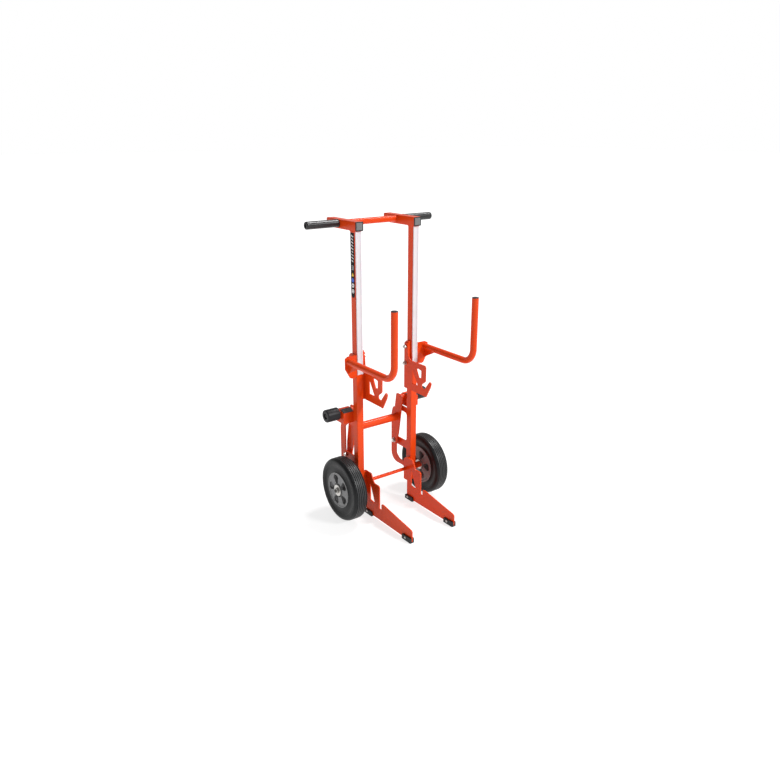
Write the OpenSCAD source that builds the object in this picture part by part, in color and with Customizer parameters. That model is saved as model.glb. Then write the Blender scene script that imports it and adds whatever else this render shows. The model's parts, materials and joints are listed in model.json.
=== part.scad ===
// Drywall lift: a two-post board trolley with forks, hook plates, J arms and a
// swing-back prop frame with rubber rollers.
// +Z is up, the forks point to -Y, and +X is the right-hand side seen from the front.
// The origin is on the floor, midway between the two posts. Millimetres.

/* [Posts] */
// Side of the square post tube
post_w = 35; // [30:1:38]
// Distance between the centres of the two posts
post_pitch = 311; // [300:1:330]
// Height of the top of the posts
post_top = 1350; // [1250:5:1450]
// Height of the bottom of the posts
post_bottom = 98; // [90:1:110]
// Wall of the post tube
post_wall = 2; // [1.5:0.5:3]

/* [Handle] */
// Side of the square tube on top of each post
head_w = 40; // [36:1:44]
// Front end of the top tubes
head_front = -28; // [-40:1:-20]
// Rear end of the top tubes
head_rear = 199; // [160:1:230]
// Length of the handlebar, over the grips
handle_length = 675; // [600:5:700]
// Distance of the handlebar behind the posts
handle_y = 107.3; // [90:0.1:120]
// Diameter of the handlebar
bar_d = 28; // [24:1:28]
// Diameter of the grips
grip_d = 34; // [32:1:38]

/* [Forks and hooks] */
// Thickness of the fork and hook plates
plate_t = 5; // [4:0.5:6]
// Gap between the plates and the posts
plate_gap = 12; // [10:1:14]
// Reach of the forks in front of the posts
fork_reach = 373.5; // [340:0.5:400]
// Height of the fork plates' lower edge
fork_lift = 6; // [5:0.5:8]

/* [Arms] */
// Diameter of the J arms
arm_d = 30; // [26:1:32]
// Distance of each arm from the middle
arm_x = 215.3; // [210:0.1:220]
// Height of the level stretch of the arms
arm_z = 782.5; // [775:0.5:790]
// Reach of the arms in front of the posts
arm_reach = 360; // [320:5:400]
// Height of the tips of the arms
arm_tip = 1076; // [1000:1:1100]
// Bend radius of the arms, on the centre line
arm_bend = 65; // [55:1:75]

/* [Wheels] */
// Diameter of the wheels
wheel_d = 303; // [290:1:306]
// Width of the tyres
tyre_w = 72; // [64:1:76]
// Clear distance from the middle to the inner side of a tyre
tyre_x = 205; // [200:1:210]
// Height of the axle
axle_z = 158; // [156:0.5:162]
// Diameter of the axle
axle_d = 17; // [16:0.5:18]

/* [Prop frame] */
// Distance of the prop pivot behind the posts
pivot_y = 112; // [110:1:114]
// Height of the prop pivot
pivot_z = 271; // [268:1:274]
// Distance of the rollers behind the posts at rest
roller_y = 72; // [68:1:76]
// Height of the rollers at rest
roller_z = 510; // [506:1:514]
// Diameter of the rubber rollers
roller_d = 60; // [54:1:64]

/* [Hidden] */
$fn = 48;
px = post_pitch / 2;
post_in = px - post_w / 2;
post_out = px + post_w / 2;
post_front = -post_w / 2;
head_z = post_top + head_w / 2;
head_wall = 2.5;
handle_z = post_top + 22.7;
handle_half = handle_length / 2;
bar_half = handle_half - 5.5;
plate_out = post_in - plate_gap;
plate_in = plate_out - plate_t;
plate_mid = (plate_in + plate_out) / 2;
pad_side = 10.2;
strip_t = 5;
strip_inset = 2.8;
strip_bottom = 712;
clamp_bolt_y = 6;
clamp_bolt_z = [709.5, 790];
clamp_bolt_r = 5;
bracket_in = 150;
bracket_t = 6;
lever_in = 133;
lever_t = 6;
lever_half = 26;
cross_r = 19;
lean = atan2(pivot_y - roller_y, roller_z - pivot_z);
pivot_r = 6;
pivot_gap = 0.05;
shaft_r = 17;
journal_r = 10;
step_out = 218;
collar_out = 223;
roller_in = 224;
roller_out = 290;
roller_bore = journal_r + 0.06;
recess_r = 13;
rim_r = 85;
flange_r = 94;
boss_r = 16;
hub_washer = 3.5;
bush_r = 15;
bush_bore = axle_d / 2 + 0.05;
wheel_in = tyre_x;
wheel_out = tyre_x + tyre_w;
axle_end = wheel_out + 15;
boss_out = wheel_in;
spokes = 5;
spoke_turn_left = 18;
spoke_turn_right = -14;

// ---------- Shared shapes ----------

// The same shape on both sides of the middle plane
module both_sides() {
  children();
  mirror([1, 0, 0]) children();
}

// A flat outline in (y, z), extruded along +x from x
module side_plate(x, t) {
  translate([x, 0, 0]) rotate([90, 0, 90]) linear_extrude(t) children();
}

// A rod along +x from x, centred on (y, z)
module rod_x(x, length, r, y, z, fn = $fn) {
  translate([x, y, z]) rotate([0, 90, 0]) cylinder(h = length, r = r, $fn = fn);
}

// Unit vector from a to b
function toward(a, b) = (b - a) / norm(b - a);

// Points that round the corner q, between its neighbours p and s, with radius r
function corner(p, q, s, r, n = 5) =
  let (u = toward(q, p), v = toward(q, s), half = acos(u * v) / 2)
  let (mid = q + toward([0, 0], u + v) * r / sin(half))
  let (a = q + u * r / tan(half) - mid, b = q + v * r / tan(half) - mid)
  let (a0 = atan2(a[1], a[0]), turn = atan2(a[0] * b[1] - a[1] * b[0], a * b))
  [for (i = [0 : n]) mid + r * [cos(a0 + turn * i / n), sin(a0 + turn * i / n)]];

// Outline of points [y, z, radius], with its corners rounded
function rounded(pts) =
  let (c = len(pts), at = function (i) [pts[i % c][0], pts[i % c][1]])
  [for (i = [0 : c - 1]) each (pts[i][2] > 0
    ? corner(at(i + c - 1), at(i), at(i + 1), pts[i][2]) : [at(i)])];

// Square tube section with round corners
module tube_section(w, wall, r = 3) {
  difference() {
    polygon(rounded([for (s = [[-1, -1], [1, -1], [1, 1], [-1, 1]]) [s[0] * w / 2, s[1] * w / 2, r]]));
    square(w - 2 * wall, center = true);
  }
}

// Hexagon head or nut along +x
module hex_x(x, h, across, y, z) {
  rod_x(x, h, across / 2 / cos(30), y, z, fn = 6);
}

// ---------- Posts, top tubes and handlebar ----------

module post() {
  color("orangered") difference() {
    translate([px, 0, post_bottom]) linear_extrude(post_top - post_bottom) tube_section(post_w, post_wall);
    rod_x(post_in - 1, post_w + 2, axle_d / 2, 0, axle_z);
    for (z = clamp_bolt_z) rod_x(post_in - 1, post_w + 2, clamp_bolt_r + 0.1, clamp_bolt_y, z);
  }
}
module post_left() { mirror([1, 0, 0]) post(); }
module post_right() { post(); }

module top_tube() {
  color("orangered") difference() {
    translate([px, head_rear, head_z]) rotate([90, 0, 0]) linear_extrude(head_rear - head_front)
      tube_section(head_w, head_wall, 3.5);
    rod_x(px - head_w, 2 * head_w, bar_d / 2 + 0.05, handle_y, handle_z);
  }
}
module top_tube_left() { mirror([1, 0, 0]) top_tube(); }
module top_tube_right() { top_tube(); }

// Plastic plugs in both ends of both top tubes, each with a 3 mm flange and a short stub
module tube_end_caps() {
  stub = head_w - 2 * head_wall - 0.4;
  color("dimgray") both_sides() for (end = [[head_front, 1], [head_rear, -1]])
    translate([px, end[0], head_z]) {
      translate([0, -1.5 * end[1], 0]) cube([head_w - 1, 3, head_w - 1], center = true);
      translate([0, 5 * end[1], 0]) cube([stub, 10, stub], center = true);
    }
}

module handlebar_tube() {
  color("orangered") difference() {
    rod_x(-bar_half, 2 * bar_half, bar_d / 2, handle_y, handle_z);
    rod_x(-bar_half - 1, 2 * bar_half + 2, bar_d / 2 - 2, handle_y, handle_z);
  }
}

// Soft grip, closed at its end but for a vent hole
module grip() {
  grip_start = px + head_w / 2 + 1;
  color("black") difference() {
    union() {
      rod_x(grip_start, handle_half - grip_start, grip_d / 2, handle_y, handle_z);
      rod_x(grip_start, 4, grip_d / 2 + 1, handle_y, handle_z);
    }
    rod_x(grip_start - 1, bar_half - grip_start + 1, bar_d / 2 + 0.05, handle_y, handle_z);
    rod_x(bar_half - 1, 10, 9, handle_y, handle_z);
  }
}
module grip_left() { mirror([1, 0, 0]) grip(); }
module grip_right() { grip(); }

// Low-friction strip on the front of each post
module glide_strip() {
  color("white") translate([post_in + strip_inset, post_front - strip_t, strip_bottom])
    cube([post_w - 2 * strip_inset, strip_t, post_top - 2 - strip_bottom]);
}
module glide_strip_left() { mirror([1, 0, 0]) glide_strip(); }
module glide_strip_right() { glide_strip(); }

// Plain instruction plate on the outer side of the left post
module label_plate() {
  color("black") translate([-post_out - 0.8, -14, 1063]) cube([0.8, 28, 280]);
}

// ---------- Forks, pads and hooks ----------

// Fork outline: upright tab behind, board slot, long toe in front
module fork_outline() {
  difference() {
    polygon(rounded([
      [-14, fork_lift, 2], [-14, 98, 2], [14, 98, 2], [14, 207, 4], [-5, 223, 3], [-55, 223, 3],
      [-79, 181, 12], [-122, 181, 10], [-122, 68, 2], [-125, 64, 2], [-134, 64, 2], [-138.5, 69, 2],
      [-138.5, 97, 8], [-156, 97, 10], [-365, 64, 5], [-fork_reach, 58, 6], [-fork_reach, fork_lift, 3],
    ]));
    polygon(rounded([[-47, 175, 2], [-86, 77, 4], [-47, 82, 3]]));
  }
}

module fork_plate() {
  color("orangered") difference() {
    side_plate(plate_in, plate_t) fork_outline();
    rod_x(plate_in - 1, plate_t + 2, axle_d / 2, 0, axle_z);
    for (y = [-31, -334]) rod_x(plate_in - 1, plate_t + 2, 3.1, y, 15.5);
  }
}
module fork_plate_left() { mirror([1, 0, 0]) fork_plate(); }
module fork_plate_right() { fork_plate(); }

// Steel packers between the fork plates and the posts
module fork_spacers() {
  color("orangered") both_sides() difference() {
    side_plate(plate_out, plate_gap) polygon(rounded([[-14, 98, 2], [14, 98, 2], [14, 207, 4], [-5, 219, 2], [-14, 219, 2]]));
    rod_x(plate_out - 1, plate_gap + 2, axle_d / 2, 0, axle_z);
  }
}

// Rubber shoe clasping the lower edge of a fork plate, bolted through
module pad(outline, bolt_y) {
  color("black") difference() {
    side_plate(plate_mid - pad_side, 2 * pad_side) polygon(rounded(outline));
    translate([plate_in, -500, fork_lift]) cube([plate_t, 600, 100]);
    rod_x(plate_mid - 20, 40, 3.1, bolt_y, 15.5);
  }
}
module pad_front() {
  pad([[-308, 0, 3], [-308, 24, 4], [-374, 26, 5], [-374, 0, 4]], -334);
}
module pad_rear() { pad([[-8, 0, 3], [-8, 22, 4], [-68, 22, 4], [-68, 0, 3]], -31); }
module pad_front_left() { mirror([1, 0, 0]) pad_front(); }
module pad_front_right() { pad_front(); }
module pad_rear_left() { mirror([1, 0, 0]) pad_rear(); }
module pad_rear_right() { pad_rear(); }

// One bolt through each pad, with its head outside and its nut inside
module pad_bolts() {
  color("silver") both_sides() for (y = [-31, -334]) {
    rod_x(plate_mid - pad_side - 5, 2 * pad_side + 8, 3, y, 15.5);
    hex_x(plate_mid - pad_side - 4, 4, 10, y, 15.5);
    hex_x(plate_mid + pad_side, 4, 10, y, 15.5);
  }
}

// Hook outline: clamp tab on the post, two windows, board slot and up-turned hook
module hook_outline() {
  difference() {
    polygon(rounded([
      [16, 585, 3], [16, 810, 2], [-8, 810, 2], [-13, 748, 15], [-33, 731, 10], [-139, 731, 8],
      [-146, 724, 3], [-145, 655, 12], [-117, 633, 6], [-119, 618, 6], [-138, 614, 6], [-163, 648, 4],
      [-176, 664, 5], [-188, 657, 6], [-181, 635, 8], [-150, 580, 5], [-140, 583, 4],
    ]));
    polygon(rounded([[-78, 700, 3], [-92, 706, 4], [-115, 701, 4], [-114, 664, 5], [-96, 662, 5]]));
    polygon(rounded([[-46, 695, 3], [-90, 621, 3], [-47, 621, 3]]));
  }
}

module hook_plate() {
  color("orangered") difference() {
    side_plate(plate_in, plate_t) hook_outline();
    for (z = clamp_bolt_z) rod_x(plate_in - 1, plate_t + 2, clamp_bolt_r + 0.1, clamp_bolt_y, z);
  }
}
module hook_plate_left() { mirror([1, 0, 0]) hook_plate(); }
module hook_plate_right() { hook_plate(); }

// Flat bar between the hook plate and the post
module hook_spacer() {
  color("orangered") difference() {
    side_plate(plate_out, plate_gap) polygon(rounded([[16, 585, 2], [16, 812, 2], [8, 819, 3], [-9, 819, 3], [-9, 585, 2]]));
    for (z = clamp_bolt_z) rod_x(plate_out - 1, plate_gap + 2, clamp_bolt_r + 0.1, clamp_bolt_y, z);
  }
}
module hook_spacer_left() { mirror([1, 0, 0]) hook_spacer(); }
module hook_spacer_right() { hook_spacer(); }

// ---------- J arms ----------

// Folded bracket: a cheek on the post's outer side and a wide front flange
module arm_bracket() {
  t = 5;
  face = post_front + 2.5;
  color("orangered") difference() {
    union() {
      side_plate(post_out, t) polygon(rounded([[face, 705, 0], [face, 807, 0], [24, 807, 8], [36, 795, 8], [36, 760, 8], [18, 705, 6]]));
      translate([0, face, 0]) rotate([90, 0, 0]) linear_extrude(t) polygon(rounded([
        [post_out, 705, 2], [199, 701, 3], [209, 705, 5], [234, 749, 5],
        [234, 799, 5], [218, 807, 3], [post_out, 807, 2],
      ]));
    }
    for (z = clamp_bolt_z) rod_x(post_out - 1, t + 2, clamp_bolt_r + 0.1, clamp_bolt_y, z);
  }
}
module arm_bracket_left() { mirror([1, 0, 0]) arm_bracket(); }
module arm_bracket_right() { arm_bracket(); }

// Web under each arm, against the flange
module arm_gussets() {
  face = post_front - 2.5;
  color("orangered") both_sides() side_plate(arm_x - 2, 4)
    polygon([[face, 730], [face, arm_z - arm_d / 2], [-88, arm_z - arm_d / 2], [-88, 764]]);
}

// Bent tube: level stretch, quarter bend, upright tip
module arm_path(r) {
  start = post_front - 2.5;
  bend_y = arm_bend - arm_reach;
  bend_z = arm_z + arm_bend;
  translate([arm_x, start, arm_z]) rotate([90, 0, 0]) cylinder(h = start - bend_y, r = r);
  translate([arm_x, bend_y, bend_z]) rotate([180, 90, 0]) rotate_extrude(angle = 90)
    translate([arm_bend, 0]) circle(r);
  translate([arm_x, -arm_reach, bend_z]) cylinder(h = arm_tip - bend_z, r = r);
}
module arm() {
  color("orangered") difference() {
    arm_path(arm_d / 2);
    arm_path(arm_d / 2 - 2);
  }
}
module arm_left() { mirror([1, 0, 0]) arm(); }
module arm_right() { arm(); }

// Plugs in the tips of the arms
module arm_caps() {
  color("dimgray") both_sides() translate([arm_x, -arm_reach, arm_tip]) {
    cylinder(h = 3, r = arm_d / 2);
    translate([0, 0, -12]) cylinder(h = 12, r = arm_d / 2 - 2.1);
  }
}

// Two bolts a side through bracket, post, spacer and hook plate
module clamp_bolts() {
  head_x = post_out + 5;
  color("silver") both_sides() for (z = clamp_bolt_z) {
    rod_x(plate_in - 16, head_x - plate_in + 16, clamp_bolt_r, clamp_bolt_y, z);
    hex_x(head_x, 6.5, 16, clamp_bolt_y, z);
    rod_x(plate_in - 2, 2, 10, clamp_bolt_y, z);
    hex_x(plate_in - 10.5, 8.5, 16, clamp_bolt_y, z);
  }
}

// ---------- Rear brackets ----------

// D-shaped plate on the back of a post, with two windows and a band for the pivot
module rear_bracket() {
  y0 = post_w / 2;
  web_y = 31;
  bar_y = 117;
  color("orangered") difference() {
    side_plate(bracket_in, bracket_t) difference() {
      polygon(rounded([[y0, 145, 0], [158, 145, 48], [158, 398, 25], [148, 436, 20], [90, 467, 30], [y0, 463, 0]]));
      polygon(rounded([[web_y, 288, 12], [bar_y, 288, 5], [bar_y, 415, 8], [90, 440, 15], [web_y, 438, 16]]));
      polygon(rounded([[web_y, 170, 6], [90, 170, 22], [bar_y, 192, 15], [bar_y, 248, 5], [web_y, 248, 8]]));
    }
    rod_x(bracket_in - 1, bracket_t + 2, pivot_r + 0.05, pivot_y, pivot_z);
  }
}
module rear_bracket_left() { mirror([1, 0, 0]) rear_bracket(); }
module rear_bracket_right() { rear_bracket(); }

// Pivot bolts, each with a head inside, a spacer washer and a nut outside
module pivot_bolts() {
  lever_face = lever_in + lever_t;
  bracket_face = bracket_in + bracket_t;
  color("silver") both_sides() {
    rod_x(lever_in - 2.5, bracket_face - lever_in + 14.5, pivot_r, pivot_y, pivot_z);
    rod_x(lever_in - 2.5, 2, 12, pivot_y, pivot_z);
    hex_x(lever_in - 10.5, 8, 17, pivot_y, pivot_z);
    rod_x(lever_face + 0.5, bracket_in - lever_face - 0.5, 11, pivot_y, pivot_z);
    hex_x(bracket_face, 10, 17, pivot_y, pivot_z);
  }
}

// ---------- Axle and wheels ----------

module axle() {
  color("orangered") rod_x(-axle_end, 2 * axle_end, axle_d / 2, 0, axle_z);
}

// Distance tubes between the posts and the hubs
module axle_bosses() {
  color("orangered") both_sides() difference() {
    rod_x(post_out, boss_out - post_out, boss_r, 0, axle_z);
    rod_x(post_out - 1, boss_out - post_out + 2, axle_d / 2, 0, axle_z);
  }
}

// Washers on both sides of each hub and the nut on the axle's end
module axle_nuts() {
  color("silver") both_sides() difference() {
    union() {
      rod_x(boss_out, hub_washer - 0.9, 25, 0, axle_z);
      rod_x(wheel_out + 0.5, hub_washer, 27.5, 0, axle_z);
      hex_x(wheel_out + 0.5 + hub_washer, 8.5, 24, 0, axle_z);
    }
    rod_x(boss_out - 1, wheel_out - boss_out + 20, axle_d / 2, 0, axle_z);
  }
}

// Rubber tyre with a rounded tread, six grooves and hollow sidewalls
module tyre() {
  r = wheel_d / 2;
  half = tyre_w / 2;
  groove = 3;
  pitch = 9.5;
  shoulder = [[r, 18], [r - 1.5, 25], [r - 4.5, 31], [r - 10.5, 35], [r - 17.5, half], [r - 25.5, half - 2],
    [r - 43.5, half - 6.5]];
  far = [for (i = [len(shoulder) - 1 : -1 : 0]) [shoulder[i][0], shoulder[i][1]]];
  near = [for (p = shoulder) [p[0], -p[1]]];
  color("black") translate([wheel_in + half, 0, axle_z]) rotate([0, 90, 0]) difference() {
    rotate_extrude($fn = 96) polygon(concat(
      [[rim_r, -half + 8], [rim_r, half - 3], [rim_r + 5, half - 4]], far, near,
      [[flange_r + 2, -half + 4.5], [flange_r, -half + 4], [flange_r, -half + 8]]));
    for (i = [-2.5 : 1 : 2.5]) translate([0, 0, i * pitch]) rotate_extrude($fn = 96)
      translate([r - groove - (abs(i) > 2 ? 1.3 : 0), -0.9]) square([groove + 3, 1.8]);
  }
}
module tyre_left() { mirror([1, 0, 0]) tyre(); }
module tyre_right() { tyre(); }

// Fan-shaped pocket between two spokes, pointing along +x of the wheel's own plane
module spoke_pocket() {
  polygon(rounded([[30, -6, 5], [30, 6, 5], [62, 21, 7], [75, 14, 7], [75, -14, 7], [62, -21, 7]]));
}

// Plastic rim: barrel with flanges, hub, and five sloping pockets in each face
module rim(turn) {
  half = tyre_w / 2;
  floor_profile = [[24, 2 * half], [76, 2 * half], [76, half - 8], [40, 4], [24, 4]];
  color("gray") translate([wheel_in + half, 0, axle_z]) rotate([0, 90, 0]) difference() {
    rotate_extrude($fn = 96) polygon([
      [bush_r, -half + 3], [24, -half + 3], [25, -half + 9], [29, -half + 9], [30, -half + 5],
      [84, -half + 5], [87, -half + 2], [flange_r, -half + 2], [flange_r, -half + 8], [rim_r, -half + 8],
      [rim_r, half], [80, half], [79, half - 1.5], [34, half - 1.5], [33, half - 7], [29, half - 7],
      [28, half], [bush_r, half],
    ]);
    for (i = [0 : spokes - 1], side = [0, 1]) rotate([0, 0, 180 - turn + 360 / spokes * i]) mirror([0, 0, side])
      intersection() {
        linear_extrude(tyre_w) spoke_pocket();
        rotate_extrude($fn = 96) polygon(floor_profile);
      }
  }
}
module rim_left() { mirror([1, 0, 0]) rim(spoke_turn_left); }
module rim_right() { rim(spoke_turn_right); }

module hub_bush() {
  color("silver") difference() {
    rod_x(wheel_in + 3, tyre_w - 3, bush_r, 0, axle_z);
    rod_x(wheel_in, tyre_w + 3, bush_bore, 0, axle_z);
  }
}
module hub_bush_left() { mirror([1, 0, 0]) hub_bush(); }
module hub_bush_right() { hub_bush(); }

// ---------- Prop frame ----------

// Flat lever from the pivot to just past the roller shaft
module prop_lever() {
  top = norm([pivot_y - roller_y, roller_z - pivot_z]) + 18;
  color("orangered") difference() {
    translate([lever_in, pivot_y, pivot_z]) rotate([lean, 0, 0]) rotate([90, 0, 90]) linear_extrude(lever_t)
      polygon(rounded([[-22, -22, 21.5], [-22, 20, 0], [-lever_half, 50, 30], [-lever_half, top, 10],
        [lever_half, top, 10], [lever_half, 50, 30], [22, 20, 0], [22, -22, 21.5]]));
    rod_x(lever_in - 1, lever_t + 2, pivot_r + pivot_gap, pivot_y, pivot_z);
  }
}
module prop_lever_left() { mirror([1, 0, 0]) prop_lever(); }
module prop_lever_right() { prop_lever(); }

// Tube that ties the two levers together
module prop_cross_tube() {
  z = 407;
  y = pivot_y - (z - pivot_z) * tan(lean);
  color("orangered") difference() {
    rod_x(-lever_in, 2 * lever_in, cross_r, y, z);
    rod_x(-lever_in - 1, 2 * lever_in + 2, cross_r - 2, y, z);
  }
}

// Stub shaft welded to the lever, turned down where the roller runs
module prop_shaft() {
  color("orangered") {
    rod_x(lever_in + lever_t, collar_out - lever_in - lever_t, shaft_r, roller_y, roller_z);
    rod_x(collar_out, roller_out - 10 - collar_out, journal_r, roller_y, roller_z);
  }
}
module prop_shaft_left() { mirror([1, 0, 0]) prop_shaft(); }
module prop_shaft_right() { prop_shaft(); }

module shaft_collars() {
  color("orangered") both_sides() difference() {
    rod_x(step_out, collar_out - step_out, 22, roller_y, roller_z);
    rod_x(step_out - 1, collar_out - step_out + 2, shaft_r, roller_y, roller_z);
  }
}

// Foot block round the shaft, with a sloping top
module step_block() {
  x0 = 160;
  color("orangered") difference() {
    side_plate(x0, step_out - x0) polygon(rounded([[30, 467, 2], [93, 467, 6], [93, 520, 8], [80, 531, 4],
      [59, 530, 0], [30, 520, 0]]));
    rod_x(x0 - 1, step_out - x0 + 2, shaft_r, roller_y, roller_z);
  }
}
module step_block_left() { mirror([1, 0, 0]) step_block(); }
module step_block_right() { step_block(); }

// Anti-slip tread on top of each foot block
module step_treads() {
  color("dimgray") both_sides() side_plate(162, 54) polygon([[30, 520], [59, 530], [58, 534], [29, 524]]);
}

// Washer and bolt head sunk in the end of each roller
module roller_retainers() {
  color("silver") both_sides() {
    rod_x(roller_out - 10, 2, 11.5, roller_y, roller_z);
    hex_x(roller_out - 8, 5, 13, roller_y, roller_z);
  }
}

// Rubber roller with rounded rims and a sunk outer end
module roller() {
  r = roller_d / 2;
  length = roller_out - roller_in;
  color("black") difference() {
    translate([roller_in, roller_y, roller_z]) rotate([0, 90, 0]) rotate_extrude($fn = 64) polygon(rounded([
      [0, 0, 0], [r, 0, 3], [r, length, 4], [0, length, 0],
    ]));
    rod_x(roller_in - 1, length + 2, roller_bore, roller_y, roller_z);
    rod_x(roller_out - 10.5, 12, recess_r, roller_y, roller_z);
  }
}
module roller_left() { mirror([1, 0, 0]) roller(); }
module roller_right() { roller(); }

post_left();
post_right();
top_tube_left();
top_tube_right();
tube_end_caps();
handlebar_tube();
grip_left();
grip_right();
glide_strip_left();
glide_strip_right();
label_plate();
fork_plate_left();
fork_plate_right();
fork_spacers();
pad_front_left();
pad_front_right();
pad_rear_left();
pad_rear_right();
pad_bolts();
hook_plate_left();
hook_plate_right();
hook_spacer_left();
hook_spacer_right();
arm_bracket_left();
arm_bracket_right();
arm_gussets();
arm_left();
arm_right();
arm_caps();
clamp_bolts();
rear_bracket_left();
rear_bracket_right();
pivot_bolts();
axle();
axle_bosses();
axle_nuts();
tyre_left();
tyre_right();
rim_left();
rim_right();
hub_bush_left();
hub_bush_right();
prop_lever_left();
prop_lever_right();
prop_cross_tube();
prop_shaft_left();
prop_shaft_right();
shaft_collars();
step_block_left();
step_block_right();
step_treads();
roller_retainers();
roller_left();
roller_right();
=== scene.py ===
import json
import math

import bmesh
import bpy
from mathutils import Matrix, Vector


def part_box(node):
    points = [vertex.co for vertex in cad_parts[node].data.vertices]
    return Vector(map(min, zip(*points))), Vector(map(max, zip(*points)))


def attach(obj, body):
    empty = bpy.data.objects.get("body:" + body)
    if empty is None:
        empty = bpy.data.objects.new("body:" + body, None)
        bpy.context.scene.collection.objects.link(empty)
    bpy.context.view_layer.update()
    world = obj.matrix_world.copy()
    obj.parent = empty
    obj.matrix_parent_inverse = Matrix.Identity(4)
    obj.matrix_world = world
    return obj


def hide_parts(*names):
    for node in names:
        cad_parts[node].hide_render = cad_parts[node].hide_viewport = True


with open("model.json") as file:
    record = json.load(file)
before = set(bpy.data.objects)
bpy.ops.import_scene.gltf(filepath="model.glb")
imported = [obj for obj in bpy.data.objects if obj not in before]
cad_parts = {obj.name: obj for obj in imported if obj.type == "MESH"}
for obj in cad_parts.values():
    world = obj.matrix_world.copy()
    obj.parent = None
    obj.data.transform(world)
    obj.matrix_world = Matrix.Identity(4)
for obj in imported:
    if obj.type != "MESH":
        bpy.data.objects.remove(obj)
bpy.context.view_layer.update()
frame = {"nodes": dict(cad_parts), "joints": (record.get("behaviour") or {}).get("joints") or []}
nodes = frame["nodes"]
mm = 0.001
tau = 2 * math.pi
sides = ((-1, "left"), (1, "right"))


# ---------- Posts and top tubes ----------
# Two upright posts of 35 mm square steel tube, each with a 40 mm square tube welded across its top.
# The whole frame is welded first and then powder coated in one orange-red colour.

def linear(code, alpha=1.0):
    values = [int(code[i:i + 2], 16) / 255 for i in (1, 3, 5)]
    return tuple(v / 12.92 if v <= 0.04045 else ((v + 0.055) / 1.055) ** 2.4 for v in values) + (alpha,)


def add(tree, kind, links=(), values=(), **settings):
    node = tree.nodes.new(kind)
    for name, value in settings.items():
        setattr(node, name, value)
    for socket, value in dict(values).items():
        node.inputs[socket].default_value = value
    for socket, source in dict(links).items():
        tree.links.new(source, node.inputs[socket])
    return node


def new_material(name):
    material = bpy.data.materials.new(name)
    material.use_nodes = True
    tree = material.node_tree
    tree.nodes.clear()
    return material, tree, add(tree, "ShaderNodeTexCoord").outputs["Object"]


def noise(tree, place, scale, detail, roughness=0.5, distortion=0.0):
    values = {"Scale": scale, "Detail": detail, "Roughness": roughness, "Distortion": distortion}
    return add(tree, "ShaderNodeTexNoise", {"Vector": place}, values).outputs["Fac"]


def ramp(tree, source, dark, light, start=0.0, end=1.0):
    node = add(tree, "ShaderNodeValToRGB", {"Fac": source})
    for element, position, code in zip(node.color_ramp.elements, (start, end), (dark, light)):
        element.position = position
        element.color = linear(code)
    return node.outputs["Color"]


def spread(tree, source, low, high):
    values = {"From Min": 0.3, "From Max": 0.7, "To Min": low, "To Max": high}
    return add(tree, "ShaderNodeMapRange", {"Value": source}, values).outputs["Result"]


def bump(tree, height, strength, depth):
    values = {"Strength": strength, "Distance": depth}
    return add(tree, "ShaderNodeBump", {"Height": height}, values).outputs["Normal"]


def surface(tree, links, values):
    shader = add(tree, "ShaderNodeBsdfPrincipled", links, values)
    add(tree, "ShaderNodeOutputMaterial", {"Surface": shader.outputs["BSDF"]})


# Polyester powder coat, sprayed dry and baked: satin gloss over a fine orange peel of about 1.5 mm,
# with slow changes of shade where the film is thicker, and a slightly duller film in places.
powder_coat, tree, place = new_material("powder_coat_orange")
cloud = noise(tree, place, 9.0, 3.0, roughness=0.5)
peel = noise(tree, place, 650.0, 2.0, roughness=0.45)
haze = noise(tree, place, 60.0, 4.0, roughness=0.6)
shade = ramp(tree, cloud, "#DA400F", "#E04612", 0.3, 0.72)
gloss = spread(tree, haze, 0.22, 0.26)
peel_bump = bump(tree, peel, 0.25, 0.00005)
surface(tree, {"Base Color": shade, "Roughness": gloss, "Normal": peel_bump},
        {"IOR": 1.5, "Specular IOR Level": 0.16})


def finish_cad(node, material, edge, angle=32):
    piece = nodes[node]
    piece.data.materials.clear()
    piece.data.materials.append(material)
    weld = piece.modifiers.new("joined_faces", "WELD")
    weld.merge_threshold = 0.00002
    bevel = piece.modifiers.new("soft_edges", "BEVEL")
    bevel.limit_method = "ANGLE"
    bevel.angle_limit = math.radians(angle)
    bevel.width = edge
    bevel.segments = 2
    bevel.use_clamp_overlap = True
    normals = piece.modifiers.new("even_shading", "WEIGHTED_NORMAL")
    normals.keep_sharp = False
    normals.weight = 60


for node in ("post_left", "post_right", "top_tube_left", "top_tube_right"):
    finish_cad(node, powder_coat, 0.5 * mm)


# ---------- Plugs in the ends of the top tubes ----------
# Injection-moulded plugs pressed into the square tubes: a black rounded rim against the tube's end,
# and a slightly sunk panel in the middle, coloured mid grey as a painted reflection of the light it catches.

# Polyethylene as moulded: fine spark texture of about 0.4 mm, drawn coarser here at 0.8 mm so that it
# reads, soft gloss, and a faint paler bloom.
cap_plastic, tree, place = new_material("moulded_polyethylene_black")
spark = noise(tree, place, 1200.0, 2.0)
bloom = noise(tree, place, 45.0, 3.0)
shade = ramp(tree, bloom, "#1C1C1E", "#2C2C2F")
grain = bump(tree, spark, 0.4, 0.00006)
surface(tree, {"Base Color": shade, "Normal": grain},
        {"Roughness": 0.5, "IOR": 1.5, "Specular IOR Level": 0.35})

# The same moulding where its face is flat and polished by the tool: its mid-grey colour is a painted
# reflection of the room.
cap_panel_painted_reflection, tree, place = new_material("moulded_polyethylene_painted_reflection")
flow = noise(tree, place, 160.0, 3.0, distortion=0.6)
# Painted reflection: the panel's base colour is mid grey, not the black of the moulding.
shade = ramp(tree, flow, "#656566", "#767677")
grain = bump(tree, flow, 0.2, 0.00005)
surface(tree, {"Base Color": shade, "Normal": grain},
        {"Roughness": 0.35, "IOR": 1.5})


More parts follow.
